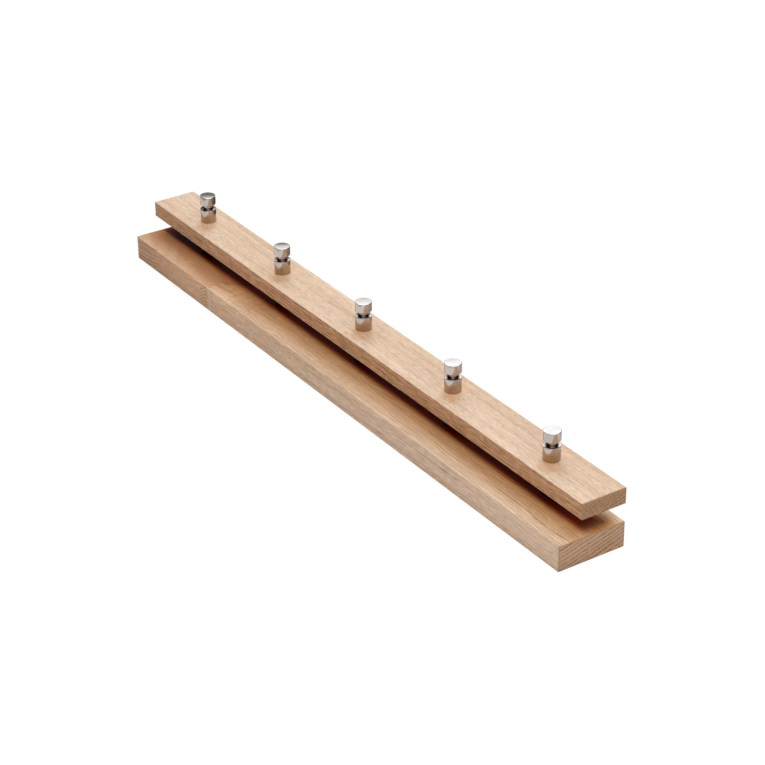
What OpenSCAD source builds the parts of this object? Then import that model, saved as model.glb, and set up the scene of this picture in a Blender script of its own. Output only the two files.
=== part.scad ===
// Wall rail of two hardwood boards with five turned metal pegs.
// The wide board lies against the wall, and the narrow one stands off it on sleeves.
// X runs along the rail, +Y is the edge that hangs uppermost, and +Z points away from the wall.
// The origin is the centre of the face that lies against the wall. All sizes are in millimetres.

/* [Boards] */
// Length of both boards
rail_length = 700; // [620:10:1400]
// Width of the board on the wall
back_width = 68; // [58:0.5:120]
// Thickness of the board on the wall
back_thickness = 24.5; // [18:0.5:40]
// Width of the board in front
front_width = 45.5; // [30:0.5:64]
// Thickness of the board in front
front_thickness = 15.5; // [10:0.5:30]
// Open gap between the two boards
board_gap = 17; // [8:0.5:40]
// Radius that eases every edge of the boards
edge_radius = 0.8; // [0.3:0.1:3]

/* [Pegs] */
// Distance from one peg to the next
peg_pitch = 140; // [60:5:150]
// Diameter of a peg's barrel and head
peg_diameter = 15.5; // [13:0.5:30]
// Height of the barrel that stands on the board
peg_barrel_height = 13.6; // [12:0.2:30]
// Diameter of the neck between barrel and head
peg_neck_diameter = 11.3; // [9:0.1:12]
// Height of the neck
peg_neck_height = 5; // [3:0.2:12]
// Height of the head
peg_head_height = 9; // [5:0.2:20]
// Bevel on the rims of barrel and head
peg_bevel = 0.35; // [0.1:0.05:0.8]

/* [Spacers] */
// Outer diameter of the sleeves that hold the boards apart
spacer_diameter = 16; // [12:0.5:30]
// Bevel on the outer rims of a sleeve
spacer_bevel = 0.3; // [0.1:0.05:1]

/* [Peg screws] */
// Thread diameter of the screw through both boards into a peg
screw_diameter = 5; // [4:0.5:6]
// Diameter of the screw's round head
screw_head_diameter = 8.5; // [7.5:0.5:9.5]
// Height of the screw's head
screw_head_height = 5; // [3.5:0.5:6.5]
// Width across the flats of the six-sided socket
screw_socket_width = 4; // [2.5:0.5:5]
// Depth of the socket
screw_socket_depth = 2.5; // [1.5:0.1:3]
// Length of thread that holds in the peg
thread_engagement = 11; // [6:0.5:16]
// Outer diameter of the washer under the head
washer_diameter = 10; // [9:0.5:15]
// Thickness of the washer
washer_thickness = 1; // [0.5:0.1:2]
// Depth of the hole that sinks head and washer into the back
counterbore_depth = 9; // [8.5:0.5:12]

/* [Hanger plates] */
// Length of a keyhole plate, across the rail
plate_length = 48; // [44:1:54]
// Width of a keyhole plate
plate_width = 16; // [14:1:30]
// Thickness of the plate's metal
plate_thickness = 2; // [1.5:0.5:3]
// Radius of the plate's corners
plate_corner_radius = 3; // [1:0.5:6]
// Distance from the plate's end to its screw
plate_screw_inset = 5; // [4.5:0.5:6]
// Diameter of the round hole that the head of a wall screw enters
keyhole_diameter = 9; // [8:0.5:11]
// Width of the slot that the wall screw's neck slides into
keyhole_slot_width = 4.5; // [3.5:0.5:6]
// Distance from the round hole's centre to the end of the slide
keyhole_travel = 8; // [7:0.5:10]
// Depth of the pocket behind the plate for the wall screw's head
pocket_depth = 5; // [3:0.5:8]
// Thread diameter of the screws that hold a plate
plate_screw_diameter = 3; // [2.5:0.5:3.5]
// Diameter of their sunk heads
plate_screw_head_diameter = 5.6; // [4.5:0.1:6]
// Length of these screws from head to point
plate_screw_length = 14; // [10:1:16]

/* [Hidden] */
peg_count = 5;
hanger_sides = [-1, 1];
peg_numbers = [1 : peg_count];
$fn = 64;

// Clearances between pieces that fit together
screw_hole_clearance = 0.5;
washer_clearance = 0.3;
counterbore_clearance = 1;
thread_clearance = 0.1;
thread_runout = 1.5;
plate_clearance = 0.3;
pocket_clearance = 2;
sunk_depth = 0.1;
tip_clearance = 1;
// Length by which a cut runs past the face that it opens
overrun = 1;

// Small bevels of the screws, drawn from the sizes of the screws
screw_bevel = screw_diameter / 12;
plate_screw_bore = plate_screw_diameter + thread_clearance;

// Colours of the plain model
oak_back = [0.80, 0.64, 0.50];
oak_front = [0.87, 0.74, 0.62];
nickel = [0.78, 0.77, 0.76];
dark_steel = [0.20, 0.20, 0.21];
zinc = [0.66, 0.67, 0.68];

// Levels along Z
front_base = back_thickness + board_gap;
peg_base = front_base + front_thickness;
washer_base = counterbore_depth - washer_thickness;
screw_head_base = washer_base - screw_head_height;
screw_tip = peg_base + thread_engagement;

// The boards are flush along the upper edge, and the pegs stand on the middle of the front board
front_y = (back_width - front_width) / 2;
screw_hole_diameter = screw_diameter + screw_hole_clearance;
function peg_x(i) = (i - (peg_count + 1) / 2) * peg_pitch;

// Each keyhole plate lies midway between the two outermost pegs on its side
hanger_x = (peg_x(peg_count) + peg_x(peg_count - 1)) / 2;
plate_screw_y = plate_length / 2 - plate_screw_inset;

module rounded_rectangle(length, width, radius) {
    square([length - 2 * radius, width], center = true);
    square([length, width - 2 * radius], center = true);
    for (x = [-1, 1], y = [-1, 1]) {
        translate([x * (length / 2 - radius), y * (width / 2 - radius)]) circle(r = radius);
    }
}

// Board with its lower face on Z = 0 and every edge eased
module eased_board(length, width, thickness) {
    translate([0, 0, thickness / 2]) intersection() {
        linear_extrude(thickness, center = true) rounded_rectangle(length, width, edge_radius);
        rotate([90, 0, 0])
            linear_extrude(width, center = true) rounded_rectangle(length, thickness, edge_radius);
        rotate([90, 0, 90])
            linear_extrude(length, center = true) rounded_rectangle(width, thickness, edge_radius);
    }
}

module at_peg(i, z) {
    translate([peg_x(i), front_y, z]) children();
}

// Keyhole outline about the middle of its slide, with the slot towards +Y
module keyhole_outline() {
    translate([0, -keyhole_travel / 2]) circle(d = keyhole_diameter);
    square([keyhole_slot_width, keyhole_travel], center = true);
    translate([0, keyhole_travel / 2]) circle(d = keyhole_slot_width);
}

// Recess for a plate, the pocket behind its keyhole and the pilot holes of its screws
module hanger_cut() {
    pocket_width = keyhole_diameter + pocket_clearance;
    pocket_length = keyhole_travel + keyhole_diameter + pocket_clearance;
    pilot_depth = plate_screw_length + tip_clearance;
    translate([0, 0, -overrun])
        linear_extrude(plate_thickness + overrun)
            rounded_rectangle(
                plate_width + plate_clearance,
                plate_length + plate_clearance,
                plate_corner_radius + plate_clearance / 2
            );
    linear_extrude(plate_thickness + pocket_depth)
        rounded_rectangle(pocket_width, pocket_length, keyhole_diameter / 2);
    for (side = hanger_sides) {
        translate([0, side * plate_screw_y, 0]) cylinder(d = plate_screw_bore, h = pilot_depth);
    }
}

module back_board() {
    color(oak_back) difference() {
        eased_board(rail_length, back_width, back_thickness);
        for (i = peg_numbers) {
            at_peg(i, -overrun) cylinder(d = screw_hole_diameter, h = back_thickness + 2 * overrun);
            at_peg(i, -overrun)
                cylinder(d = washer_diameter + counterbore_clearance, h = counterbore_depth + overrun);
        }
        for (side = hanger_sides) {
            translate([side * hanger_x, 0, 0]) hanger_cut();
        }
    }
}

module front_board() {
    color(oak_front) difference() {
        translate([0, front_y, front_base]) eased_board(rail_length, front_width, front_thickness);
        for (i = peg_numbers) {
            at_peg(i, front_base - overrun)
                cylinder(d = screw_hole_diameter, h = front_thickness + 2 * overrun);
        }
    }
}

module spacer(i) {
    inner = screw_hole_diameter / 2;
    outer = spacer_diameter / 2;
    color(dark_steel) at_peg(i, back_thickness) rotate_extrude() polygon([
        [inner, 0],
        [outer - spacer_bevel, 0],
        [outer, spacer_bevel],
        [outer, board_gap - spacer_bevel],
        [outer - spacer_bevel, board_gap],
        [inner, board_gap]
    ]);
}

// One turned piece: a barrel, a narrower neck and a head as wide as the barrel, with a blind
// threaded hole in its foot
module peg(i) {
    outer = peg_diameter / 2;
    neck = peg_neck_diameter / 2;
    head_base = peg_barrel_height + peg_neck_height;
    top = head_base + peg_head_height;
    bore = (screw_diameter + thread_clearance) / 2;
    bore_depth = thread_engagement + thread_runout;
    color(nickel) at_peg(i, peg_base) rotate_extrude() polygon([
        [bore, 0],
        [outer - peg_bevel, 0],
        [outer, peg_bevel],
        [outer, peg_barrel_height - peg_bevel],
        [outer - peg_bevel, peg_barrel_height],
        [neck, peg_barrel_height],
        [neck, head_base],
        [outer - peg_bevel, head_base],
        [outer, head_base + peg_bevel],
        [outer, top - peg_bevel],
        [outer - peg_bevel, top],
        [0, top],
        [0, bore_depth],
        [bore, bore_depth]
    ]);
}

// Round-headed machine screw, its head towards the wall
module peg_screw(i) {
    head = screw_head_diameter / 2;
    shank = screw_diameter / 2;
    color(zinc) difference() {
        at_peg(i, 0) rotate_extrude() polygon([
            [0, screw_head_base],
            [head - screw_bevel, screw_head_base],
            [head, screw_head_base + screw_bevel],
            [head, washer_base],
            [shank, washer_base],
            [shank, screw_tip - screw_bevel],
            [shank - screw_bevel, screw_tip],
            [0, screw_tip]
        ]);
        at_peg(i, screw_head_base - overrun)
            cylinder(d = screw_socket_width / cos(30), h = screw_socket_depth + overrun, $fn = 6);
    }
}

module peg_washer(i) {
    color(zinc) at_peg(i, washer_base) difference() {
        cylinder(d = washer_diameter, h = washer_thickness);
        translate([0, 0, -overrun])
            cylinder(d = screw_diameter + washer_clearance, h = washer_thickness + 2 * overrun);
    }
}

// Steel plate let in flush with the back, with countersunk screw holes at its ends
module hanger_plate(side) {
    sink_radius = plate_screw_head_diameter / 2 + thread_clearance;
    bore_radius = plate_screw_bore / 2;
    color(zinc) translate([side * hanger_x, 0, 0]) difference() {
        linear_extrude(plate_thickness) difference() {
            rounded_rectangle(plate_width, plate_length, plate_corner_radius);
            keyhole_outline();
        }
        for (end = hanger_sides) {
            translate([0, end * plate_screw_y, 0]) rotate_extrude() polygon([
                [0, -overrun],
                [sink_radius, -overrun],
                [sink_radius, sunk_depth],
                [bore_radius, sunk_depth + sink_radius - bore_radius],
                [bore_radius, plate_thickness + overrun],
                [0, plate_thickness + overrun]
            ]);
        }
    }
}

// Flat-headed wood screw of a hanger plate: 1 and 2 hold the left plate, 3 and 4 the right one
module hanger_screw(i) {
    side = i <= 2 ? -1 : 1;
    end = i % 2 == 1 ? -1 : 1;
    head = plate_screw_head_diameter / 2;
    shank = plate_screw_diameter / 2;
    point_height = plate_screw_diameter;
    slot_width = plate_screw_head_diameter / 6;
    slot_depth = (head - shank) / 2;
    color(zinc) translate([side * hanger_x, end * plate_screw_y, sunk_depth]) difference() {
        rotate_extrude() polygon([
            [0, 0],
            [head, 0],
            [shank, head - shank],
            [shank, plate_screw_length - point_height],
            [0, plate_screw_length]
        ]);
        for (turn = [0, 90]) {
            rotate([0, 0, turn]) translate([0, 0, slot_depth / 2 - overrun / 2])
                cube([plate_screw_diameter, slot_width, slot_depth + overrun], center = true);
        }
    }
}

back_board();
front_board();
for (i = peg_numbers) {
    spacer(i);
    peg(i);
    peg_screw(i);
    peg_washer(i);
}
hanger_plate(-1);  // hanger_plate_left
hanger_plate(1);  // hanger_plate_right
for (i = [1 : 4]) {
    hanger_screw(i);
}
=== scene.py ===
import math

import bpy
from mathutils import Matrix, Vector


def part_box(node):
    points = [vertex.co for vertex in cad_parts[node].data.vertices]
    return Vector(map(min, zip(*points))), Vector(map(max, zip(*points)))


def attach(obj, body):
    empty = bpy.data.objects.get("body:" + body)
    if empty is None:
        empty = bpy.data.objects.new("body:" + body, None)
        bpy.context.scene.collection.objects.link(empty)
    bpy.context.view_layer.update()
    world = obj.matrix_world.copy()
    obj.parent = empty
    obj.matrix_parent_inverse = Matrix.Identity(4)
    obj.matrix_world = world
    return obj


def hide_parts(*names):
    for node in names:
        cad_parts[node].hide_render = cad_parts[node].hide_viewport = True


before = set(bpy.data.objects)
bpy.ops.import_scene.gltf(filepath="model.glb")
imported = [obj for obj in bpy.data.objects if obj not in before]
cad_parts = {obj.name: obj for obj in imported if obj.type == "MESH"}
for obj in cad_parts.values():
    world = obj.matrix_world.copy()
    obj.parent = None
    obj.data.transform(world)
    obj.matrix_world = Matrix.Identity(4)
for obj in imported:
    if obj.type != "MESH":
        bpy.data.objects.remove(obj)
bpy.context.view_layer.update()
print("frame:", len(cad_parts), "nodes loaded")

mm = 0.001
pegNumbers = range(1, 6)
white = (1.0, 1.0, 1.0)
black = (0.0, 0.0, 0.0)


# Small helpers for the node trees

nodesInRow, nodeWidth, nodeHeight = 12, 180, 220


def addNode(tree, kind, **settings):
    node = tree.nodes.new(kind)
    row, column = divmod(len(tree.nodes), nodesInRow)
    node.location = (column * nodeWidth, -row * nodeHeight)
    for name, value in settings.items():
        setattr(node, name, value)
    return node


def feed(tree, socket, value):
    # A socket is linked, and a plain number, vector or opaque colour is written on the input
    if isinstance(value, bpy.types.NodeSocket):
        tree.links.new(value, socket)
    elif value is not None:
        socket.default_value = (*value, 1.0) if socket.type == "RGBA" else value


def fill(tree, node, values):
    for name, value in values.items():
        feed(tree, node.inputs[name], value)
    return node.outputs


def calc(tree, operation, first, second=None, third=None, clamp=False):
    node = addNode(tree, "ShaderNodeMath", operation=operation, use_clamp=clamp)
    for socket, value in zip(node.inputs, (first, second, third)):
        feed(tree, socket, value)
    return node.outputs[0]


def times(tree, first, *others):
    for other in others:
        first = calc(tree, "MULTIPLY", first, other)
    return first


def timesPlus(tree, first, second, third, clamp=False):
    return calc(tree, "MULTIPLY_ADD", first, second, third, clamp)


def minus(tree, first, second):
    return calc(tree, "SUBTRACT", first, second)


def over(tree, first, second):
    return calc(tree, "DIVIDE", first, second)


def absolute(tree, value):
    return calc(tree, "ABSOLUTE", value)


def vectorCalc(tree, operation, first, second=None, scale=None):
    node = addNode(tree, "ShaderNodeVectorMath", operation=operation)
    feed(tree, node.inputs[0], first)
    feed(tree, node.inputs[1], second)
    if scale is not None:
        feed(tree, node.inputs["Scale"], scale)
    givesNumber = operation in ("LENGTH", "DISTANCE", "DOT_PRODUCT")
    return node.outputs["Value"] if givesNumber else node.outputs[0]


def inMillimetres(tree, point):
    return vectorCalc(tree, "SCALE", point, scale=1 / mm)


def shrink(tree, point, size):
    # Makes a mark of this size one unit across
    return vectorCalc(tree, "MULTIPLY", point, tuple(1 / length for length in size))


def objectPoint(tree):
    return addNode(tree, "ShaderNodeTexCoord").outputs["Object"]


def split(tree, vector):
    node = addNode(tree, "ShaderNodeSeparateXYZ")
    feed(tree, node.inputs[0], vector)
    return node.outputs[0], node.outputs[1], node.outputs[2]


def join(tree, x, y, z=0.0):
    node = addNode(tree, "ShaderNodeCombineXYZ")
    for socket, value in zip(node.inputs, (x, y, z)):
        feed(tree, socket, value)
    return node.outputs[0]


def remap(tree, value, fromLow, fromHigh, toLow=0.0, toHigh=1.0):
    node = addNode(tree, "ShaderNodeMapRange", interpolation_type="SMOOTHSTEP")
    ends = {"From Min": fromLow, "From Max": fromHigh, "To Min": toLow, "To Max": toHigh}
    return fill(tree, node, {"Value": value, **ends})[0]


def noise(tree, vector, scale=1.0, detail=2.0, roughness=0.5):
    node = addNode(tree, "ShaderNodeTexNoise", noise_dimensions="3D")
    return fill(tree, node, {"Vector": vector, "Scale": scale, "Detail": detail, "Roughness": roughness})


def cells(tree, vector):
    # Distance to the middle of the nearest cell
    node = addNode(tree, "ShaderNodeTexVoronoi", voronoi_dimensions="3D", feature="F1")
    return fill(tree, node, {"Vector": vector, "Scale": 1.0})["Distance"]


def mixColour(tree, factor, first, second, mode="MIX"):
    # The mode MULTIPLY tints the first colour with the second where the factor is 1
    node = addNode(tree, "ShaderNodeMix", data_type="RGBA", blend_type=mode, clamp_factor=True)
    feed(tree, node.inputs["Factor"], factor)
    feed(tree, node.inputs[6], first)
    feed(tree, node.inputs[7], second)
    return node.outputs[2]


def colourRamp(tree, value, stops):
    # Each stop is a value and the colour there
    first, last = stops[0][0], stops[-1][0]
    node = addNode(tree, "ShaderNodeValToRGB")
    share = calc(tree, "DIVIDE", minus(tree, value, first), last - first, clamp=True)
    feed(tree, node.inputs[0], share)
    marks = node.color_ramp.elements
    while len(marks) < len(stops):
        marks.new(0.5)
    for mark, (place, colour) in zip(marks, stops):
        mark.position = (place - first) / (last - first)
        mark.color = (*colour, 1.0)
    return node.outputs[0]


def newGroup(name, inputs, outputs):
    # The default of an input is a number, or None where the input is a vector
    tree = bpy.data.node_groups.new(name, "ShaderNodeTree")
    for title, default in inputs.items():
        kind = "NodeSocketVector" if default is None else "NodeSocketFloat"
        socket = tree.interface.new_socket(name=title, in_out="INPUT", socket_type=kind)
        if default is not None:
            socket.default_value = default
    for title in outputs:
        tree.interface.new_socket(name=title, in_out="OUTPUT", socket_type="NodeSocketFloat")
    given = addNode(tree, "NodeGroupInput").outputs
    out = addNode(tree, "NodeGroupOutput")
    return tree, given, out


def useGroup(tree, group, values):
    return fill(tree, addNode(tree, "ShaderNodeGroup", node_tree=group), values)


def newMaterial(name):
    material = bpy.data.materials.new(name)
    material.use_nodes = True
    tree = material.node_tree
    shader = tree.nodes["Principled BSDF"]
    return material, tree, shader


def bump(tree, height, relief):
    # The relief is a depth in metres and a strength
    node = addNode(tree, "ShaderNodeBump")
    depth, strength = relief
    return fill(tree, node, {"Height": height, "Distance": depth, "Strength": strength})["Normal"]


# Pegs, sleeves, screws and washers share five upright axes. Lengths in millimetres
pegAxes = {"pitch": 140.0, "middleY": 11.25}


def fromPegAxis(tree, point):
    # Two lengths from the axis of the nearest peg, along the rail and across it, and the radius
    x, y = split(tree, inMillimetres(tree, point))[:2]
    nearest = calc(tree, "ROUND", over(tree, x, pegAxes["pitch"]))
    aside = minus(tree, x, times(tree, nearest, pegAxes["pitch"]))
    deep = minus(tree, y, pegAxes["middleY"])
    return aside, deep, vectorCalc(tree, "LENGTH", join(tree, aside, deep))


# Oak as a solid: growth rings round a far pith, pores, rays and fibres all follow the same trunk

# Sizes of marks in millimetres, along the trunk, round it and outwards, and shares of a ring or a row
oakGrain = {
    "seedStep": 431.7,
    "trunkStep": 97.3,
    "bendSize": (150, 45, 45),
    "raggedSize": (30, 3.5, 6), "ragged": 9.0,
    "nearEdge": -34.0,
    "pithAway": 600.0,
    "unevenSize": (400, 8),
    "earlyRise": (0.0, 0.08), "earlyFall": (0.15, 0.5), "lateRise": (0.45, 0.97),
    "poreSize": (5, 0.85, 0.85),
    "poreReach": (0.18, 0.46), "poreEdge": (-0.12, 0.06),
    "driftSize": (90, 5, 5), "drift": 3.0,
    "rowEdge": (0.10, 0.40), "rowDepth": (0.85, 0.15),
    "breakSize": (9, 0.55, 0.55), "breakEdge": 0.26,
    "raySize": (13, 0.75, 14), "rayEdge": (0.56, 0.70),
    "streakSize": (170, 3.2, 3.2),
    "toneSize": (260, 20, 10),
    "fibreSize": (16, 0.22, 0.22),
}


def bendGrain(tree, given, point, shifted):
    # The grain wanders slowly, sweeps down from one end and lifts in a short curl beside a knot
    def bell(distance, width):
        # 1 in the middle, falling to nothing a few widths away
        away = over(tree, distance, width)
        return calc(tree, "EXPONENT", times(tree, away, away, -1.0))

    x, y, z = split(tree, point)
    slow = noise(tree, shrink(tree, shifted, oakGrain["bendSize"]))
    slowY, slowZ = split(tree, slow["Color"])[:2]
    inwards = minus(tree, y, oakGrain["nearEdge"])
    curlLine = timesPlus(tree, inwards, given["Curl Slant"], given["Curl Place"])
    ragged = noise(tree, shrink(tree, shifted, oakGrain["raggedSize"]), detail=3.0, roughness=0.6)["Fac"]
    ragged = minus(tree, ragged, 0.5)
    fromCurl = timesPlus(tree, ragged, oakGrain["ragged"], minus(tree, x, curlLine))
    lift = times(tree, bell(fromCurl, given["Curl Width"]), given["Curl Lift"])
    fromEnd = minus(tree, x, given["Sweep Start"])
    lift = timesPlus(tree, bell(fromEnd, given["Sweep Reach"]), given["Sweep"], lift)
    wander = times(tree, given["Wander"], 2.0)
    bentY = timesPlus(tree, minus(tree, slowY, 0.5), wander, y)
    bentZ = timesPlus(tree, minus(tree, slowZ, 0.5), wander, z)
    return bentY, minus(tree, bentZ, lift), fromCurl


def makeOakGroup():
    inputs = {
        "Point": None, "Pith Y": 0.0, "Pith Z": 0.0, "Lean Z": 0.0,
        "Ring Width": 3.8, "Row Width": 1.8, "Break Low": 0.34, "Wander": 3.0,
        "Sweep": 0.0, "Sweep Start": -350.0, "Sweep Reach": 70.0,
        "Curl Place": 0.0, "Curl Width": 7.0, "Curl Lift": 0.0, "Curl Slant": 0.0, "Seed": 0.0,
    }
    outputs = ("Early", "Late", "Pores", "Lines", "Rays", "Streaks", "Tone", "Fibre", "From Curl")
    tree, given, out = newGroup("solidOak", inputs, outputs)
    point = inMillimetres(tree, given["Point"])
    seedShift = join(tree, times(tree, given["Seed"], oakGrain["seedStep"]), given["Seed"])
    shifted = vectorCalc(tree, "ADD", point, seedShift)
    bentY, bentZ, fromCurl = bendGrain(tree, given, point, shifted)

    # Distance from the pith and length round it
    x = split(tree, point)[0]
    fromPithY = minus(tree, bentY, given["Pith Y"])
    fromPithZ = minus(tree, bentZ, timesPlus(tree, x, given["Lean Z"], given["Pith Z"]))
    radius = vectorCalc(tree, "LENGTH", join(tree, fromPithY, fromPithZ))
    turn = calc(tree, "ARCTAN2", fromPithY, absolute(tree, fromPithZ))
    trunk = join(tree, timesPlus(tree, given["Seed"], oakGrain["trunkStep"], x),
                 times(tree, turn, oakGrain["pithAway"]), radius)

    # Rings of uneven width: an open early band, then a dense late one
    unevenAlong, unevenOut = oakGrain["unevenSize"]
    unevenPlace = join(tree, over(tree, x, unevenAlong), given["Seed"], over(tree, radius, unevenOut))
    uneven = noise(tree, unevenPlace, detail=1.0)["Fac"]
    ring = calc(tree, "ADD", uneven, over(tree, radius, given["Ring Width"]))
    part = calc(tree, "FRACT", ring)
    rise = remap(tree, part, *oakGrain["earlyRise"])
    early = times(tree, rise, remap(tree, part, *oakGrain["earlyFall"], 1.0, 0.0))
    late = remap(tree, part, *oakGrain["lateRise"])

    # Open pores lie thick in the early band and thin in the late one, as short dashes along the board
    poreAway = cells(tree, shrink(tree, trunk, oakGrain["poreSize"]))
    poreAway = minus(tree, poreAway, remap(tree, early, 0.0, 1.0, *oakGrain["poreReach"]))
    pores = remap(tree, poreAway, *oakGrain["poreEdge"], 1.0, 0.0)

    # Rows of fine vessels: dark lines at an even spacing that drift a little and break up into dashes
    drift = noise(tree, shrink(tree, shifted, oakGrain["driftSize"]), detail=1.0)["Fac"]
    rows = over(tree, calc(tree, "ADD", bentY, bentZ), given["Row Width"])
    rowPart = calc(tree, "FRACT", timesPlus(tree, drift, oakGrain["drift"], rows))
    dark = remap(tree, absolute(tree, minus(tree, rowPart, 0.5)), *oakGrain["rowEdge"], 1.0, 0.0)
    breaks = noise(tree, shrink(tree, trunk, oakGrain["breakSize"]), detail=1.0)["Fac"]
    breakHigh = calc(tree, "ADD", given["Break Low"], oakGrain["breakEdge"])
    broken = remap(tree, breaks, given["Break Low"], breakHigh)
    lines = times(tree, timesPlus(tree, dark, *oakGrain["rowDepth"]), broken)

    # Rays are thin sheets that run from the pith outwards
    rays = noise(tree, shrink(tree, trunk, oakGrain["raySize"]), detail=1.0)["Fac"]
    rays = remap(tree, rays, *oakGrain["rayEdge"])
    streaks = noise(tree, shrink(tree, trunk, oakGrain["streakSize"]), detail=3.0, roughness=0.62)
    tone = noise(tree, shrink(tree, trunk, oakGrain["toneSize"]))["Fac"]
    fibre = noise(tree, shrink(tree, trunk, oakGrain["fibreSize"]))["Fac"]
    fill(tree, out, {"Early": early, "Late": late, "Pores": pores, "Lines": lines, "Rays": rays,
                     "Streaks": streaks["Fac"], "Tone": tone, "Fibre": fibre, "From Curl": fromCurl})
    return tree


def makeEdgeGroup():
    # Mask that is 1 along the eased edges of a box-shaped board and 0 away from them
    inputs = {"Point": None, "Low Corner": None, "High Corner": None, "Reach": 2.2}
    tree, given, out = newGroup("boardEdge", inputs, ("Mask",))
    low, high = given["Low Corner"], given["High Corner"]
    centre = vectorCalc(tree, "SCALE", vectorCalc(tree, "ADD", low, high), scale=0.5)
    half = vectorCalc(tree, "SCALE", vectorCalc(tree, "SUBTRACT", high, low), scale=0.5)
    away = vectorCalc(tree, "ABSOLUTE", vectorCalc(tree, "SUBTRACT", given["Point"], centre))
    inX, inY, inZ = split(tree, inMillimetres(tree, vectorCalc(tree, "SUBTRACT", half, away)))
    # An edge is near where both of its faces are
    nearest = calc(tree, "MINIMUM", calc(tree, "ADD", inY, inZ), calc(tree, "ADD", inX, inZ))
    nearest = calc(tree, "MINIMUM", calc(tree, "ADD", inX, inY), nearest)
    fill(tree, out, {"Mask": remap(tree, nearest, 0.0, given["Reach"], 1.0, 0.0)})
    return tree


oakGroup = makeOakGroup()
edgeGroup = makeEdgeGroup()

# Each board is sawn from its own place in a trunk. Its grain is given in millimetres. A pair of numbers
# for breaks is for the broad faces and the sides, and one for lines is for the left end and the middle
backBoardOak = {
    "grain": {
        "Pith Y": -189.0, "Pith Z": 742.0, "Lean Z": 0.006,
        "Ring Width": 3.8, "Row Width": 1.85, "Wander": 2.2, "Sweep": -11.0,
        "Curl Place": -213.0, "Curl Width": 5.5, "Curl Lift": 6.0, "Curl Slant": 0.42, "Seed": 3.0,
    },
    "pale": (0.870, 0.650, 0.472),
    "deep": (0.620, 0.395, 0.235),
    "pore": (0.255, 0.120, 0.052),
    "ray": (0.850, 0.670, 0.510),
    # The long side is painted lighter, and the end grain is partly darker wood and partly painted shade
    "sideToneAndShading": (1.12, 1.13, 1.17),
    # Painted shade on the left end of the long side
    "leftPaintedShade": (0.98, 0.95, 0.93),
    "endGrainAndShading": (0.605, 0.525, 0.467),
    "underPaintedShade": white,
    "breaks": (0.22, 0.35),
    "streaks": 0.20,
    "lines": (0.58, 0.58),
    "sideLines": (0.40, 0.60),
    "pores": 0.30,
    "endPores": 1.45,
    "rays": 0.12,
    "endRays": 0.7,
    "calmLeft": 0.55,
    "calmPast": 0.5,
    "sweepMarks": 0.42,
    "browned": 0.55,
    "roughness": 0.56,
    "sheen": 0.06,
}
frontBoardOak = {
    "grain": {
        "Pith Y": 190.0, "Pith Z": -540.0, "Lean Z": 0.004,
        "Ring Width": 3.0, "Row Width": 1.9, "Wander": 1.6, "Seed": 11.0,
    },
    "pale": (0.790, 0.607, 0.454),
    "deep": (0.552, 0.360, 0.223),
    "pore": (0.270, 0.140, 0.066),
    "ray": (0.820, 0.655, 0.505),
    # The long side and the end grain are partly the wood's own tone and partly painted shade
    "sideToneAndShading": (1.06, 0.80, 0.59),
    # Painted shade on the left end of the long side
    "leftPaintedShade": (0.86, 0.86, 0.84),
    "endGrainAndShading": (0.515, 0.395, 0.292),
    # Painted shade on the underside, over the gap
    "underPaintedShade": (0.22, 0.09, 0.06),
    "breaks": (0.38, 0.34),
    "streaks": 0.24,
    "lines": (0.42, 0.50),
    "sideLines": (0.80, 1.2),
    "pores": 0.42,
    "endPores": 1.5,
    "rays": 0.22,
    "endRays": 1.1,
    "calmLeft": 0.0,
    "calmPast": 0.0,
    "sweepMarks": 0.0,
    "browned": 0.65,
    "roughness": 0.55,
    "sheen": 0.22,
}

# What the two boards share. Places are along the rail in metres, or from the curl in millimetres
oakFinish = {
    "facing": (0.5, 0.9),
    "toneRange": (0.32, 0.68), "toneDepth": 0.36,
    "streakRange": (0.34, 0.66),
    "lateDepth": 0.18,
    "linesDeepen": (-0.33, -0.05),
    "sideLinesDeepen": (-0.33, 0.0),
    "sideLinesSoften": (0.16, 0.32), "softened": 0.72,
    "calmLeftEdge": (-8.0, 8.0),
    "calmPastEdge": (20.0, 62.0),
    "sweepPlace": (-0.270, -0.335),
    "curlReach": (3.0, 10.0), "curlMarks": 0.5, "curlOnTop": 0.2,
    "endBands": 0.22, "endDots": 0.78,
    "leftPlace": (-0.15, -0.28),
    "edgeHighlight": 0.14,
    "sawnEdge": (1.9 * mm, 0.5 * mm),
    "poreRoughness": 0.22, "fibreRoughness": 0.10, "edgeRoughness": -0.08,
    "fibreHeight": 0.5, "lineHeight": -0.3,
    "relief": (0.07 * mm, 0.5),
}


def faceMasks(tree, normal):
    x, y, z = split(tree, normal)
    some, full = oakFinish["facing"]
    return {
        "end": remap(tree, absolute(tree, x), some, full),
        "side": remap(tree, absolute(tree, y), some, full),
        "up": remap(tree, z, some, full),
        "down": remap(tree, z, -some, -full),
    }


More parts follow.
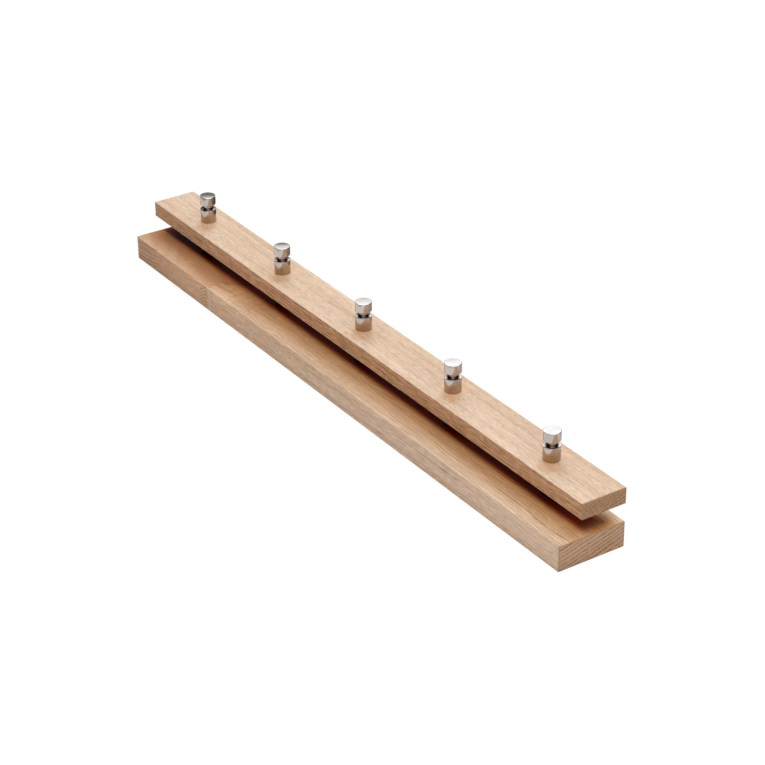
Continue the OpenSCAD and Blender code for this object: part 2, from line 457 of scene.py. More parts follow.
def oakMarks(tree, values, grain, faces, x):
    # The lines deepen from the left end to the middle, and those of the sides soften at the right
    broadLines = remap(tree, x, *oakFinish["linesDeepen"], *values["lines"])
    sideLines = times(tree, remap(tree, x, *oakFinish["sideLinesDeepen"], *values["sideLines"]),
                      remap(tree, x, *oakFinish["sideLinesSoften"], 1.0, oakFinish["softened"]))
    lines = times(tree, grain["Lines"], remap(tree, faces["side"], 0.0, 1.0, broadLines, sideLines))
    marks = calc(tree, "MAXIMUM", times(tree, grain["Pores"], values["pores"]), lines)

    # The broad face is calm left of the curl and just past it
    calmLeft = remap(tree, grain["From Curl"], *oakFinish["calmLeftEdge"], values["calmLeft"], 0.0)
    calmPast = remap(tree, grain["From Curl"], *oakFinish["calmPastEdge"], values["calmPast"], 0.0)
    calm = times(tree, calc(tree, "MAXIMUM", calmLeft, calmPast), minus(tree, 1.0, faces["side"]))
    marks = times(tree, marks, minus(tree, 1.0, calm))

    # The early bands show at the left end, where the grain sweeps down, and in the curl
    nearEnd = remap(tree, x, *oakFinish["sweepPlace"], 0.0, values["sweepMarks"])
    marks = timesPlus(tree, grain["Early"], times(tree, nearEnd, faces["side"]), marks)
    fromCurl = absolute(tree, grain["From Curl"])
    inCurl = times(tree, remap(tree, fromCurl, *oakFinish["curlReach"], oakFinish["curlMarks"], 0.0),
                   remap(tree, faces["side"], 0.0, 1.0, oakFinish["curlOnTop"], 1.0))
    marks = timesPlus(tree, grain["Early"], inCurl, marks)

    # The sawn ends show the bands and the pores cut across
    endDots = times(tree, grain["Pores"], oakFinish["endDots"])
    endMarks = timesPlus(tree, grain["Early"], oakFinish["endBands"], endDots)
    endMarks = times(tree, endMarks, values["endPores"], faces["end"])
    return timesPlus(tree, marks, minus(tree, 1.0, faces["end"]), endMarks)


def oakColour(tree, values, grain, faces, x):
    # Slow tone, streaks and late wood, then rays, pores and lines on top, and the tint of each face,
    # which is partly the wood's own tone and partly painted light and shade
    tone = times(tree, remap(tree, grain["Tone"], *oakFinish["toneRange"]), oakFinish["toneDepth"])
    streaks = remap(tree, grain["Streaks"], *oakFinish["streakRange"])
    depth = timesPlus(tree, streaks, values["streaks"], tone)
    depth = timesPlus(tree, grain["Late"], oakFinish["lateDepth"], depth, clamp=True)
    colour = mixColour(tree, depth, values["pale"], values["deep"])
    rayWeight = remap(tree, faces["end"], 0.0, 1.0, values["rays"], values["endRays"])
    colour = mixColour(tree, times(tree, grain["Rays"], rayWeight), colour, values["ray"])
    colour = mixColour(tree, oakMarks(tree, values, grain, faces, x), colour, values["pore"])
    leftSide = times(tree, remap(tree, x, *oakFinish["leftPlace"]), faces["side"])
    for mask, tint in ((faces["end"], "endGrainAndShading"), (faces["side"], "sideToneAndShading"),
                       (leftSide, "leftPaintedShade"), (faces["down"], "underPaintedShade")):
        colour = mixColour(tree, mask, colour, values[tint], "MULTIPLY")
    return colour


def makeOak(name, node, values, paint):
    material, tree, shader = newMaterial(name)
    place = addNode(tree, "ShaderNodeTexCoord")
    point = place.outputs["Object"]
    x = split(tree, point)[0]
    faces = faceMasks(tree, place.outputs["Normal"])
    low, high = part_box(node)
    breakLow = remap(tree, faces["side"], 0.0, 1.0, *values["breaks"])
    grain = useGroup(tree, oakGroup, {**values["grain"], "Point": point, "Break Low": breakLow})
    box = {"Point": point, "Low Corner": tuple(low), "High Corner": tuple(high)}
    edge = useGroup(tree, edgeGroup, box)["Mask"]
    colour = oakColour(tree, values, grain, faces, x)
    colour = paint(tree, colour, point, faces, grain["From Curl"])

    # Painted highlight along the eased edges, and the edges of the sawn ends are browner
    colour = mixColour(tree, times(tree, edge, oakFinish["edgeHighlight"]), colour, values["ray"])
    farIn, farOut = oakFinish["sawnEdge"]
    sawn = remap(tree, absolute(tree, x), high.x - farIn, high.x - farOut)
    colour = mixColour(tree, times(tree, sawn, edge, values["browned"]), colour, values["pore"])

    # The oiled surface is matt, and duller still in the open pores
    rough = timesPlus(tree, grain["Pores"], oakFinish["poreRoughness"], values["roughness"])
    rough = timesPlus(tree, grain["Fibre"], oakFinish["fibreRoughness"], rough)
    rough = timesPlus(tree, edge, oakFinish["edgeRoughness"], rough, clamp=True)
    fibres = times(tree, grain["Fibre"], oakFinish["fibreHeight"])
    height = timesPlus(tree, grain["Pores"], -1.0, fibres)
    height = timesPlus(tree, grain["Lines"], oakFinish["lineHeight"], height)
    normal = bump(tree, height, oakFinish["relief"])
    fill(tree, shader, {"Base Color": colour, "Roughness": rough, "Normal": normal,
                        "Specular IOR Level": values["sheen"]})
    return material


# Wood tone and painted light and shade on the back board, in millimetres. An area has a range along the
# board and one across it, over which it fades in. The stops of a tint run inwards from the near edge, or
# away from the curl
backBoardPaint = {
    # Painted light and shade across the ledge, darkest under the front board
    "ledgeShading": (
        (-34.0, (0.97, 1.01, 1.06)), (-28.0, (0.99, 0.98, 0.95)),
        (-20.0, (1.04, 0.94, 0.81)), (-13.0, (1.10, 0.84, 0.61)),
        (-7.0, (1.38, 1.04, 0.64)), (-4.5, (1.32, 0.72, 0.31)),
        (-2.5, (1.00, 0.27, 0.10)), (-0.5, (0.64, 0.085, 0.030)),
        (3.0, (0.42, 0.062, 0.028)),
    ),
    # Deep inside, the painted shade is milder and keeps most of the wood's own colour
    "hiddenShadeTint": (0.84, 0.66, 0.50),
    "hiddenArea": ((322.0, 298.0), (7.0, 13.0)),
    # Daylight reaches further in at the open right end, and a little at the left end
    "open": (
        (-8.0, (1.18, 1.02, 0.84)), (-2.0, (1.16, 0.90, 0.58)),
        (2.0, (1.08, 0.70, 0.34)), (14.0, (1.10, 0.74, 0.38)),
        (18.0, (1.28, 0.88, 0.48)), (22.0, (1.52, 1.28, 0.98)),
        (26.0, (1.46, 1.38, 1.20)), (31.0, (1.34, 1.30, 1.24)),
    ),
    "openArea": ((331.0, 349.0), (-16.0, -3.0)),
    "openFarArea": ((296.0, 330.0), (12.0, 24.0)),
    "openLeftArea": ((-341.0, -351.0), (-16.0, -3.0)),
    "openLeft": 0.6,
    # Browner heartwood left of the curl and paler wood past it
    "ledgeHeart": (
        (-140.0, (0.76, 0.655, 0.59)), (-60.0, (0.82, 0.70, 0.62)),
        (-25.0, (0.79, 0.64, 0.55)), (0.0, (0.79, 0.63, 0.53)),
        (12.0, (1.00, 0.94, 0.90)), (32.0, (1.05, 1.02, 1.02)),
        (50.0, (1.05, 1.02, 1.03)), (62.0, (0.96, 0.90, 0.82)),
        (76.0, (1.03, 1.01, 1.00)), (230.0, white),
    ),
    "sideHeart": (
        (-140.0, (0.88, 0.79, 0.72)), (-60.0, (0.86, 0.75, 0.66)),
        (-9.0, (0.88, 0.78, 0.69)), (-8.0, (0.72, 0.61, 0.52)),
        (-6.5, (0.91, 0.84, 0.73)), (3.0, (0.91, 0.84, 0.73)),
        (5.0, (1.03, 0.99, 0.95)), (9.0, (1.01, 0.97, 0.93)),
        (11.0, (0.80, 0.71, 0.63)), (13.0, (0.95, 0.88, 0.82)),
        (60.0, (0.96, 0.91, 0.86)), (230.0, white),
    ),
    "cloudSize": (26, 8, 8),
    "cloudShift": 70.0,
    # Ripples cross the grain for a hand's width past the curl
    "rippleTint": (0.92, 0.87, 0.82),
    "rippleSize": (3.4, 11, 11),
    "rippleEdge": (0.42, 0.62),
    "rippleMiddle": 34.0,
    "rippleReach": (18.0, 34.0),
    # Darker at the left end, partly the wood's smoky tone and partly painted shade, which deepens towards
    # the front board
    "smokyToneAndShade": (0.74, 0.68, 0.62),
    "smokeAlong": (-230.0, -345.0),
    "smokeAcross": (-27.0, -9.0),
    "smokeTop": 0.65,
    "smokeSide": 0.6,
    # Painted shade in the gap, darkest towards the left end
    "gapShadeTint": (0.45, 0.18, 0.16),
    "gapArea": ((-180.0, -320.0), (-6.0, -1.0)),
}


def paintBackBoard(tree, colour, point, faces, fromCurl):
    paint, upward, sideways = backBoardPaint, faces["up"], faces["side"]
    point = inMillimetres(tree, point)
    along, across = split(tree, point)[:2]

    def area(name):
        inX, inY = paint[name]
        return times(tree, remap(tree, along, *inX), remap(tree, across, *inY))

    openArea = calc(tree, "MAXIMUM", area("openArea"), area("openFarArea"))
    openArea = calc(tree, "MAXIMUM", openArea, times(tree, area("openLeftArea"), paint["openLeft"]))
    hidden = area("hiddenArea")
    # Painted shade under the front board, milder deep inside, and lifted by painted light at the open
    # ends
    ledgeShading = mixColour(tree, hidden, colourRamp(tree, across, paint["ledgeShading"]), paint["hiddenShadeTint"])
    ledgeShading = mixColour(tree, openArea, ledgeShading, colourRamp(tree, across, paint["open"]))
    colour = mixColour(tree, upward, colour, ledgeShading, "MULTIPLY")

    clouds = noise(tree, shrink(tree, point, paint["cloudSize"]))["Fac"]
    cloudy = times(tree, minus(tree, clouds, 0.5), upward)
    heartPlace = timesPlus(tree, cloudy, paint["cloudShift"], fromCurl)
    heart = mixColour(tree, sideways, colourRamp(tree, heartPlace, paint["ledgeHeart"]),
                      colourRamp(tree, fromCurl, paint["sideHeart"]))
    colour = mixColour(tree, 1.0, colour, heart, "MULTIPLY")

    waves = noise(tree, shrink(tree, point, paint["rippleSize"]), detail=1.0)["Fac"]
    fromRipples = absolute(tree, minus(tree, fromCurl, paint["rippleMiddle"]))
    ripple = times(tree, remap(tree, waves, *paint["rippleEdge"]),
                   remap(tree, fromRipples, *paint["rippleReach"], 1.0, 0.0), upward)
    colour = mixColour(tree, ripple, colour, paint["rippleTint"], "MULTIPLY")

    # The wood's smoky tone and painted shade at the left end
    smokeTop = times(tree, remap(tree, across, *paint["smokeAcross"]), upward, paint["smokeTop"])
    smokeAndShade = times(tree, remap(tree, along, *paint["smokeAlong"]),
                  timesPlus(tree, sideways, paint["smokeSide"], smokeTop))
    colour = mixColour(tree, smokeAndShade, colour, paint["smokyToneAndShade"], "MULTIPLY")

    # Painted shade in the gap, where the ledge is not open
    closed = timesPlus(tree, openArea, -1.0, upward, clamp=True)
    return mixColour(tree, times(tree, area("gapArea"), closed), colour, paint["gapShadeTint"], "MULTIPLY")


# Painted light close round the pegs, and the painted shadow that each casts on its near right. In
# millimetres
pegShading = {
    "pale": {"tint": (1.16, 1.13, 1.12), "place": (0.0, 0.0, 0.0), "reach": (9.0, 20.0)},
    "paintedShadow": {"tint": (0.90, 0.78, 0.67), "place": (9.5, -9.5, 0.0), "reach": (4.0, 15.0)},
}


def paintFrontBoard(tree, colour, point, faces, fromCurl):
    away = join(tree, *fromPegAxis(tree, point)[:2])
    # Painted light round each peg, then the painted shadow it casts
    for stain in pegShading.values():
        distance = vectorCalc(tree, "DISTANCE", away, stain["place"])
        mask = times(tree, remap(tree, distance, *stain["reach"], 1.0, 0.0), faces["up"])
        colour = mixColour(tree, mask, colour, stain["tint"], "MULTIPLY")
    return colour


def dressNode(node, material):
    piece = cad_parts[node]
    piece.data.materials.clear()
    piece.data.materials.append(material)


dressNode("back_board", makeOak("oakBackBoard", "back_board", backBoardOak, paintBackBoard))
dressNode("front_board", makeOak("oakFrontBoard", "front_board", frontBoardOak, paintFrontBoard))
print("boards: two oak materials")


# Steel parts: black sleeves between the boards, and zinc screws, washers and plates at the back.
# Sizes of lines and marks are in millimetres

spacerSteel = {
    "black": (0.020, 0.020, 0.022),
    "worn": (0.110, 0.105, 0.100),
    "wornLines": (0.4, 0.6),
    "wornMetallic": (0.6, 1.0),
    "lineSpacing": 0.35,
    "roughness": 0.42,
    "stainRoughness": 0.18,
    "wornRoughness": -0.12,
    "relief": (0.03 * mm, 0.6),
}
zincPlate = {
    "bright": (0.620, 0.625, 0.630),
    "yellowed": (0.560, 0.520, 0.400), "yellow": 0.7,
    "stained": (0.330, 0.325, 0.320), "stain": 0.55,
    "grain": 0.45,
    "rolledSize": (14, 0.45, 3),
    "roughness": 0.30,
    "frostRoughness": 0.16,
    "wornRoughness": 0.15,
    "frostHeight": 0.4,
    "relief": (0.025 * mm, 0.6),
}
turnedSteel = {
    "lineLength": 9.0,
    "wearScale": 0.9, "wearRange": (0.52, 0.72),
    "stainScale": 0.16, "stainRange": (0.45, 0.70),
    "frostScale": 2.2,
}


def makeTurnedGroup(values):
    # Turning lines round the axis of the nearest peg, with wear, stains and frosting
    inputs = {"Point": None, "Line Spacing": 0.4}
    tree, given, out = newGroup("turnedSteel", inputs, ("Lines", "Wear", "Stain", "Frost"))
    point = inMillimetres(tree, given["Point"])
    aside, deep, radius = fromPegAxis(tree, given["Point"])
    ringPlace = calc(tree, "ADD", radius, split(tree, point)[2])
    linePlace = join(tree, over(tree, ringPlace, given["Line Spacing"]),
                     over(tree, aside, values["lineLength"]), over(tree, deep, values["lineLength"]))
    lines = noise(tree, linePlace, detail=1.0)["Fac"]
    wear = noise(tree, point, scale=values["wearScale"], detail=4.0)["Fac"]
    wear = remap(tree, wear, *values["wearRange"])
    stain = noise(tree, point, scale=values["stainScale"], detail=3.0)["Fac"]
    stain = remap(tree, stain, *values["stainRange"])
    frost = cells(tree, vectorCalc(tree, "SCALE", point, scale=values["frostScale"]))
    fill(tree, out, {"Lines": lines, "Wear": wear, "Stain": stain, "Frost": frost})
    return tree


turnedGroup = makeTurnedGroup(turnedSteel)


def makeSpacerSteel(values):
    material, tree, shader = newMaterial("blackSteel")
    point = objectPoint(tree)
    turned = useGroup(tree, turnedGroup, {"Point": point, "Line Spacing": values["lineSpacing"]})
    worn = times(tree, turned["Wear"], remap(tree, turned["Lines"], *values["wornLines"]))
    colour = mixColour(tree, worn, values["black"], values["worn"])
    metallic = remap(tree, worn, 0.0, 1.0, *values["wornMetallic"])
    rough = timesPlus(tree, turned["Stain"], values["stainRoughness"], values["roughness"])
    rough = timesPlus(tree, worn, values["wornRoughness"], rough)
    normal = bump(tree, turned["Lines"], values["relief"])
    fill(tree, shader, {"Base Color": colour, "Metallic": metallic, "Roughness": rough, "Normal": normal})
    return material


def makeZinc(name, values, rolled=False):
    # Screws and washers are turned, and the plates are rolled along the rail
    material, tree, shader = newMaterial(name)
    point = objectPoint(tree)
    turned = useGroup(tree, turnedGroup, {"Point": point, "Line Spacing": values["grain"]})
    lines = turned["Lines"]
    if rolled:
        lines = noise(tree, shrink(tree, inMillimetres(tree, point), values["rolledSize"]))["Fac"]
    yellow = times(tree, turned["Stain"], values["yellow"])
    colour = mixColour(tree, yellow, values["bright"], values["yellowed"])
    colour = mixColour(tree, times(tree, turned["Wear"], values["stain"]), colour, values["stained"])
    rough = timesPlus(tree, turned["Frost"], values["frostRoughness"], values["roughness"])
    rough = timesPlus(tree, turned["Wear"], values["wornRoughness"], rough)
    height = timesPlus(tree, turned["Frost"], values["frostHeight"], lines)
    normal = bump(tree, height, values["relief"])
    fill(tree, shader, {"Base Color": colour, "Metallic": 1.0, "Roughness": rough, "Normal": normal})
    return material


blackSteel = makeSpacerSteel(spacerSteel)
zincTurned = makeZinc("zincTurned", zincPlate)
zincRolled = makeZinc("zincRolled", zincPlate, rolled=True)
for number in pegNumbers:
    dressNode(f"spacer_{number}", blackSteel)
    dressNode(f"peg_screw_{number}", zincTurned)
    dressNode(f"peg_washer_{number}", zincTurned)
for number in range(1, 5):
    dressNode(f"hanger_screw_{number}", zincTurned)
for side in ("left", "right"):
    dressNode(f"hanger_plate_{side}", zincRolled)
print("hardware: black sleeves, zinc screws, washers and plates")


# Pegs: one is turned from a cylinder, and the others are copies of it

pegShape = {
    "diameter": 15.5 * mm,
    "barrel": 13.6 * mm,
    "neck": 5.0 * mm,
    "neckFootDiameter": 9.7 * mm,
    "neckHeadDiameter": 11.0 * mm,
    "neckRound": 0.3 * mm,
    "head": 9.0 * mm,
    "rimRadius": 0.5 * mm,
    "footBevel": 0.25 * mm,
    "bevelSteps": 5, "bevelShare": 0.98,
    "dome": 0.09 * mm, "domeRings": 10,
    "boreDiameter": 5.1 * mm,
    "boreDepth": 12.5 * mm,
    "sides": 128,
    "smoothAngle": 40,
}


def neckSteps(footRadius, headRadius, length, bend, steps=10):
    # Radius and height of each ring: a quarter round, a cone held by two rings, and another quarter round
    turns = [math.pi / 2 * step / steps for step in range(1, steps + 1)]
    quarter = [(bend * (1 - math.sin(turn)), bend * (1 - math.cos(turn))) for turn in turns]
    foot = [(footRadius + closing, rising) for closing, rising in quarter]
    head = [(headRadius + opening, length - left) for left, opening in quarter]
    cone = [(footRadius + (headRadius - footRadius) * part, bend + (length - 2 * bend) * part)
            for part in (0.04, 0.96, 1.0)]
    return foot + cone + head


def startCylinder(name, radius, depth, centre, sides):
    bpy.ops.object.select_all(action="DESELECT")
    bpy.ops.mesh.primitive_cylinder_add(vertices=sides, radius=radius, depth=depth, location=centre)
    piece = bpy.context.active_object
    piece.name = name
    piece.data.name = name
    bpy.ops.object.transform_apply(location=True, rotation=True, scale=True)
    return piece


def pick(piece, kind, test):
    # Selects the faces or edges that pass the test, and goes to edit mode
    bpy.ops.object.mode_set(mode="OBJECT")
    data = piece.data
    for group in (data.vertices, data.edges, data.polygons):
        for item in group:
            item.select = False
    if kind == "FACE":
        for face in data.polygons:
            face.select = test(face.center, face.normal)
    else:
        for edge in data.edges:
            ends = [data.vertices[v].co for v in edge.vertices]
            edge.select = test(ends[0], ends[1])
    bpy.ops.object.mode_set(mode="EDIT")
    bpy.ops.mesh.select_mode(type=kind)


def pullUp(height):
    bpy.ops.mesh.extrude_region_move(TRANSFORM_OT_translate={"value": (0, 0, height)})


def widen(centre, factor):
    bpy.ops.transform.resize(value=(factor, factor, 1.0), center_override=centre)


def finishPiece(piece, material, smoothAngle):
    bpy.ops.object.mode_set(mode="EDIT")
    bpy.ops.mesh.select_all(action="SELECT")
    bpy.ops.mesh.remove_doubles(threshold=0.002 * mm)
    bpy.ops.mesh.normals_make_consistent(inside=False)
    bpy.ops.object.mode_set(mode="OBJECT")
    bpy.ops.object.transform_apply(location=True, rotation=True, scale=True)
    bpy.ops.object.shade_smooth_by_angle(angle=math.radians(smoothAngle))
    piece.data.materials.clear()
    piece.data.materials.append(material)


def turnNeck(peg, foot, shape):
    # The neck runs up from one round to another, drawn up ring by ring, and the head follows
    outer = shape["diameter"] / 2
    footRadius, headRadius = shape["neckFootDiameter"] / 2, shape["neckHeadDiameter"] / 2
    reach, height = footRadius + shape["neckRound"], 0.0
    pick(peg, "FACE", lambda centre, normal: normal.z > 0.9)
    bpy.ops.mesh.inset(thickness=outer - reach, depth=0)
    for nextReach, nextHeight in neckSteps(footRadius, headRadius, shape["neck"], shape["neckRound"]):
        pullUp(nextHeight - height)
        widen((foot.x, foot.y, 0), nextReach / reach)
        reach, height = nextReach, nextHeight
    pullUp(0)
    widen((foot.x, foot.y, 0), outer / reach)
    pullUp(shape["head"] - shape["dome"])


def turnDome(shape):
    # The top is a shallow dome of narrowing rings
    rings = shape["domeRings"]
    rim = shape["diameter"] / 2 - shape["rimRadius"]
    bpy.ops.mesh.inset(thickness=shape["rimRadius"], depth=0)
    reach = rim
    for ring in range(1, rings):
        smaller = rim * (1 - ring / rings)
        rise = shape["dome"] * (reach ** 2 - smaller ** 2) / rim ** 2
        bpy.ops.mesh.inset(thickness=reach - smaller, depth=0)
        bpy.ops.transform.translate(value=(0, 0, rise))
        reach = smaller


def boreFoot(peg, foot, shape):
    # Blind hole in the foot for the screw
    pick(peg, "FACE", lambda centre, normal: normal.z < -0.9 and centre.z < foot.z + 0.1 * mm)
    bpy.ops.mesh.inset(thickness=(shape["diameter"] - shape["boreDiameter"]) / 2, depth=0)
    pullUp(shape["boreDepth"])


def roundRims(peg, foot, shape):
    outer = shape["diameter"] / 2
    barrelTop = foot.z + shape["barrel"]
    headBase = barrelTop + shape["neck"]
    top = headBase + shape["head"] - shape["dome"]

    def rim(height):
        # True for the edges that lie on the outer circle at this height
        def test(a, b):
            level = all(abs(p.z - height) < 0.01 * mm for p in (a, b))
            return level and all(abs((p - foot).xy.length - outer) < 0.02 * mm for p in (a, b))
        return test

    rims = [(height, shape["rimRadius"]) for height in (barrelTop, headBase, top)]
    for height, size in rims + [(foot.z, shape["footBevel"])]:
        pick(peg, "EDGE", rim(height))
        bpy.ops.mesh.bevel(offset=size * shape["bevelShare"], segments=shape["bevelSteps"],
                           profile=0.5, affect="EDGES")


def turnPeg(name, foot, shape, material):
    barrelMiddle = foot + Vector((0, 0, shape["barrel"] / 2))
    peg = startCylinder(name, shape["diameter"] / 2, shape["barrel"], barrelMiddle, shape["sides"])
    turnNeck(peg, foot, shape)
    turnDome(shape)
    boreFoot(peg, foot, shape)
    roundRims(peg, foot, shape)
    finishPiece(peg, material, shape["smoothAngle"])
    return peg


def copyPiece(piece, name, shift):
    twin = piece.copy()
    twin.data = piece.data.copy()
    twin.name = name
    twin.data.name = name
    twin.data.transform(Matrix.Translation(shift))
    bpy.context.scene.collection.objects.link(twin)
    return twin


# Polished nickel, with a painted warm reflection of the board on the barrel and painted shade in the
# recess of the neck
nickel = {
    "bright": (0.540, 0.475, 0.445),
    "dull": (0.490, 0.425, 0.395),
    "dullRange": (0.35, 0.7),
    # Painted warm reflection of the board, on the lower barrel
    "yellowed": (0.90, 0.79, 0.63),
    "warmReflectionTop": (0.45, 0.9),
    "recessFoot": (-0.3 * mm, -0.05 * mm),
    "recessTop": (-0.2 * mm, 0.0),
    "left": (-0.556, -0.831, 0.0),
    "leftRange": (0.1, 0.8),
    "neckEdge": (5.9, 6.4),
    # Painted shade and reflection in the recess of the neck
    "neckLeft": (0.20, 0.17, 0.15),
    "neckRight": (0.40, 0.33, 0.26),
    "ledgeLeft": (0.22, 0.18, 0.15),
    "ledgeFades": (-0.28, -0.10),
    "ledgeFaded": 0.35,
    "smudgeScale": 130.0,
    "hairlines": (900.0, 900.0, 9000.0),
    "smudgeRange": (0.3, 0.75),
    "roughness": (0.045, 0.099),
    "relief": (0.0015 * mm, 0.3),
}


def paintedNeckShade(tree, tint, point, height, values, shape):
    # Painted shade and reflection: dark on the two sides of the neck and on the left of the ledge at its
    # foot, less so along the rail
    aside, deep, radius = fromPegAxis(tree, point)
    away = vectorCalc(tree, "NORMALIZE", join(tree, aside, deep))
    leftward = vectorCalc(tree, "DOT_PRODUCT", away, values["left"])
    some, full = values["leftRange"]
    onLeft, onRight = remap(tree, leftward, some, full), remap(tree, leftward, -some, -full)
    onNeck = remap(tree, radius, *values["neckEdge"], 1.0, 0.0)
    fading = remap(tree, split(tree, point)[0], *values["ledgeFades"], 1.0, values["ledgeFaded"])
    onLedge = times(tree, minus(tree, 1.0, onNeck), fading)
    footLow, footHigh = (shape["barrel"] + step for step in values["recessFoot"])
    topLow, topHigh = (shape["barrel"] + shape["neck"] + step for step in values["recessTop"])
    aboveFoot = remap(tree, height, footLow, footHigh)
    recess = times(tree, aboveFoot, remap(tree, height, topLow, topHigh, 1.0, 0.0))
    for side, where, name in ((onLeft, onNeck, "neckLeft"), (onRight, onNeck, "neckRight"),
                              (onLeft, onLedge, "ledgeLeft")):
        tint = mixColour(tree, times(tree, recess, side, where), tint, values[name], "MULTIPLY")
    return tint


def makeNickel(values, shape, foot):
    material, tree, shader = newMaterial("polishedNickel")
    point = objectPoint(tree)
    smudge = noise(tree, point, scale=values["smudgeScale"], detail=3.0, roughness=0.6)["Fac"]
    tint = mixColour(tree, remap(tree, smudge, *values["dullRange"]), values["bright"], values["dull"])
    height = minus(tree, split(tree, point)[2], foot)
    # Painted warm reflection of the board on the lower barrel
    reflectionFull, reflectionEnd = (share * shape["barrel"] for share in values["warmReflectionTop"])
    low = remap(tree, height, reflectionFull, reflectionEnd, 1.0, 0.0)
    tint = mixColour(tree, low, tint, values["yellowed"], "MULTIPLY")
    tint = paintedNeckShade(tree, tint, point, height, values, shape)
    rough = remap(tree, smudge, *values["smudgeRange"], *values["roughness"])
    hairline = noise(tree, vectorCalc(tree, "MULTIPLY", point, values["hairlines"]))["Fac"]
    normal = bump(tree, hairline, values["relief"])
    fill(tree, shader, {"Base Color": tint, "Metallic": 1.0, "Roughness": rough, "Normal": normal})
    return material


pegFeet = {}
for number in pegNumbers:
    low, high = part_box(f"peg_{number}")
    pegFeet[number] = Vector(((low.x + high.x) / 2, (low.y + high.y) / 2, low.z))
nickelMaterial = makeNickel(nickel, pegShape, pegFeet[1].z)
firstPeg = turnPeg("turnedPeg_1", pegFeet[1], pegShape, nickelMaterial)
for number in pegNumbers:
    shift = pegFeet[number] - pegFeet[1]
    peg = firstPeg if number == 1 else copyPiece(firstPeg, f"turnedPeg_{number}", shift)
    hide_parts(f"peg_{number}")
    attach(peg, "root")
print("pegs:", len(pegFeet), "turned pegs,", len(firstPeg.data.polygons), "faces each")


# Camera, as the photograph was fitted

camera = {
    "place": (1.55961, -1.01218, 1.04422),
    "azimuth": 56.211,  # degrees, 0 looks along +Y
    "elevation": 29.241,
    "roll": -0.46,
    "lens": 108.816,
    "sensor": 36.0,
}


def addCamera(values):
    data = bpy.data.cameras.new("camera")
    data.sensor_width = values["sensor"]
    data.lens = values["lens"]
    piece = bpy.data.objects.new("camera", data)
    bpy.context.scene.collection.objects.link(piece)
    turn = (Matrix.Rotation(math.radians(values["azimuth"]), 4, "Z")
            @ Matrix.Rotation(math.radians(90 - values["elevation"]), 4, "X")
            @ Matrix.Rotation(math.radians(values["roll"]), 4, "Z"))
    piece.matrix_world = Matrix.Translation(values["place"]) @ turn
    bpy.context.scene.camera = piece


addCamera(camera)


# Studio: three soft lamps, a white floor and a white surround

lamps = {
    "softLamp": {"place": (0.15, 0.12, 1.55), "size": (2.3, 2.2), "power": 34.5,
                 "aimed": False, "gloss": True},
    "sideLamp": {"place": (-1.10, 0.55, 1.25), "size": (0.45, 0.45), "power": 4.5,
                 "aimed": True, "gloss": True},
    "endLamp": {"place": (1.75, -0.15, 0.62), "size": (0.7, 0.7), "power": 7.5,
                "aimed": True, "gloss": False},
}
studio = {
    "ambient": 0.14,
    "room": (0.055, 0.045, 0.038),
    "floorSize": 14.0,
    "floorColour": (0.86, 0.86, 0.86),
    "floorRoughness": 0.9,
    "floorGlow": 1.03,
    "floorLift": 0.94,
    "tableNear": (0.17, 0.30),
    "tableSide": (0.62, 0.85),
}


def seenDirectly(tree, path):
    # 1 for the rays of the camera, of gloss and of glass
    either = calc(tree, "MAXIMUM", path["Is Camera Ray"], path["Is Glossy Ray"])
    return calc(tree, "MAXIMUM", either, path["Is Transmission Ray"])


def mixShaders(tree, factor, first, second):
    node = addNode(tree, "ShaderNodeMixShader")
    for socket, value in zip(node.inputs, (factor, first.outputs[0], second.outputs[0])):
        feed(tree, socket, value)
    return node.outputs[0]


def addSurround(values):
    # The light of a dim room. The camera and glass see plain white instead, and gloss a dark brown
    world = bpy.data.worlds.new("surround")
    bpy.context.scene.world = world
    world.use_nodes = True
    tree = world.node_tree
    tree.nodes.clear()
    path = addNode(tree, "ShaderNodeLightPath").outputs
    ambient = addNode(tree, "ShaderNodeBackground")
    feed(tree, ambient.inputs["Strength"], values["ambient"])
    seen = addNode(tree, "ShaderNodeBackground")
    feed(tree, seen.inputs["Color"], mixColour(tree, path["Is Glossy Ray"], white, values["room"]))
    output = addNode(tree, "ShaderNodeOutputWorld")
    feed(tree, output.inputs["Surface"], mixShaders(tree, seenDirectly(tree, path), ambient, seen))


def addPlane(name, size=1.0):
    bpy.ops.object.select_all(action="DESELECT")
    bpy.ops.mesh.primitive_plane_add(size=size, location=(0, 0, 0))
    plane = bpy.context.active_object
    plane.name = name
    return plane


def addFloor(values):
    # White to the camera. To gloss it darkens away from the table under the rail
    floor = addPlane("floor", values["floorSize"])
    material, tree, shader = newMaterial("paleFloor")
    fill(tree, shader, {"Base Color": values["floorColour"], "Roughness": values["floorRoughness"],
                        "Specular IOR Level": 0.0})
    path = addNode(tree, "ShaderNodeLightPath").outputs
    x, y = split(tree, objectPoint(tree))[:2]
    farNear = remap(tree, times(tree, y, -1.0), *values["tableNear"])
    farSide = remap(tree, absolute(tree, x), *values["tableSide"])
    farAway = times(tree, calc(tree, "MAXIMUM", farNear, farSide), path["Is Glossy Ray"])
    glow = addNode(tree, "ShaderNodeEmission")
    glowColour = mixColour(tree, farAway, white, values["room"])
    fill(tree, glow, {"Color": glowColour, "Strength": values["floorGlow"]})
    lifted = times(tree, seenDirectly(tree, path), values["floorLift"])
    feed(tree, tree.nodes["Material Output"].inputs["Surface"], mixShaders(tree, lifted, shader, glow))
    floor.data.materials.append(material)


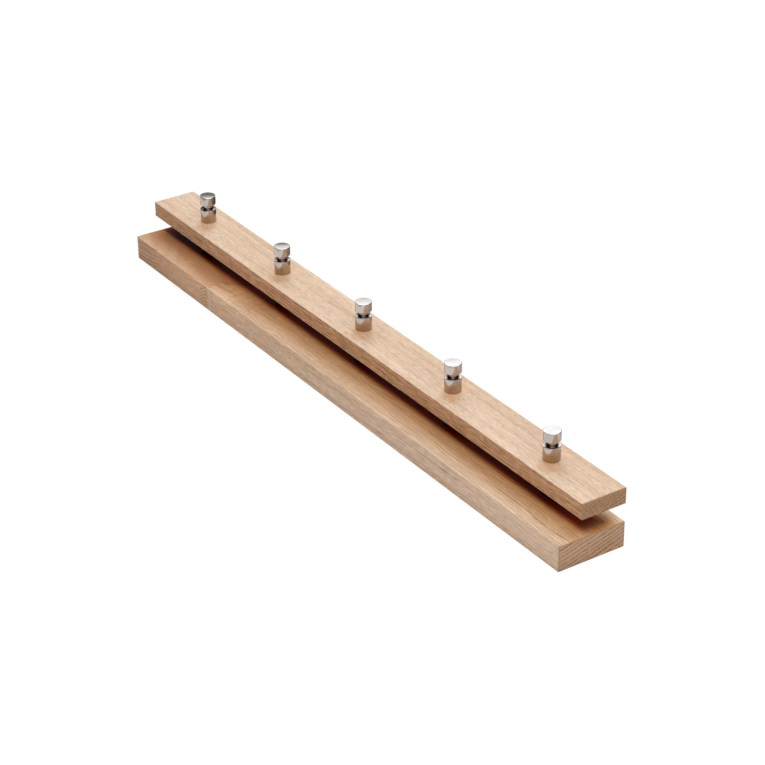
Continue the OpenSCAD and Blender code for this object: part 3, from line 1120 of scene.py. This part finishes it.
def addLamp(name, values):
    # An area lamp that shines straight down, or is aimed at the middle of the rail
    data = bpy.data.lights.new(name, "AREA")
    data.shape = "RECTANGLE"
    data.size, data.size_y = values["size"]
    data.energy = values["power"]
    lamp = bpy.data.objects.new(name, data)
    lamp.location = values["place"]
    lamp.visible_glossy = values["gloss"]
    if values["aimed"]:
        lamp.rotation_euler = (-Vector(values["place"])).to_track_quat("-Z", "Y").to_euler()
    bpy.context.scene.collection.objects.link(lamp)


addSurround(studio)
addFloor(studio)
for name, values in lamps.items():
    addLamp(name, values)


def showToGloss(piece, axis, stops, strength):
    # Lights a plane with colours that run along one axis, and hides it from all but gloss
    material = bpy.data.materials.new(piece.name)
    material.use_nodes = True
    tree = material.node_tree
    tree.nodes.clear()
    place = split(tree, objectPoint(tree))[axis]
    glow = addNode(tree, "ShaderNodeEmission")
    fill(tree, glow, {"Color": colourRamp(tree, place, stops), "Strength": strength})
    output = addNode(tree, "ShaderNodeOutputMaterial")
    feed(tree, output.inputs["Surface"], glow.outputs[0])
    piece.data.materials.append(material)
    piece.visible_camera = False
    piece.visible_diffuse = False
    piece.visible_shadow = False


# Upright cards, with the height of each stop in degrees above the rail. The back card stands behind the
# rail. The front card is a patch above the camera, which the feet of the pegs' necks show
cards = {
    "backCard": {
        "azimuth": 56.0, "away": 2.6, "width": 3.6,
        "foot": 0.06, "height": 2.4, "strength": 2.2,
        "stops": (
            (3.0, (0.545, 0.564, 0.573)), (21.0, (0.127, 0.136, 0.118)),
            (24.2, (0.127, 0.136, 0.127)), (26.8, (0.58, 0.64, 0.67)),
            (28.6, (0.645, 0.715, 0.765)), (31.2, (0.80, 0.895, 0.965)),
            (34.0, (0.83, 0.94, 1.00)),
        ),
    },
    "frontCard": {
        "azimuth": 236.0, "away": 2.6, "width": 3.4,
        "foot": 1.5, "height": 1.6, "strength": 0.6,
        "stops": ((32.0, black), (35.0, white), (48.0, white)),
    },
}


def addCard(name, values):
    card = addPlane(name)
    card.scale = (values["width"], values["height"], 1.0)
    turn, away = math.radians(values["azimuth"]), values["away"]
    card.rotation_euler = (math.radians(90), 0, turn)
    card.location = (-math.sin(turn) * away, math.cos(turn) * away, values["foot"] + values["height"] / 2)
    bpy.ops.object.transform_apply(location=True, rotation=True, scale=True)
    stops = [(away * math.tan(math.radians(level)), colour) for level, colour in values["stops"]]
    showToGloss(card, 2, stops, values["strength"])


# Sheet on the floor behind the rail, dark at the far end
floorSheet = {
    "x": (-0.75, 0.75),
    "y": (0.046, 0.60),
    "lift": 1.0 * mm,
    "strength": 1.0,
    "stops": (
        (-0.33, (0.06, 0.035, 0.022)), (0.045, (0.52, 0.40, 0.31)),
        (0.42, (0.98, 0.93, 0.90)),
    ),
}


def addFloorSheet(values):
    (lowX, highX), (lowY, highY) = values["x"], values["y"]
    sheet = addPlane("floorSheet")
    sheet.scale = (highX - lowX, highY - lowY, 1.0)
    sheet.location = ((lowX + highX) / 2, (lowY + highY) / 2, values["lift"])
    bpy.ops.object.transform_apply(location=True, rotation=True, scale=True)
    showToGloss(sheet, 0, values["stops"], values["strength"])


for name, values in cards.items():
    addCard(name, values)
addFloorSheet(floorSheet)
print("studio: camera, lamp, floor, back card and surround")

bpy.context.scene.view_settings.view_transform = "Standard"
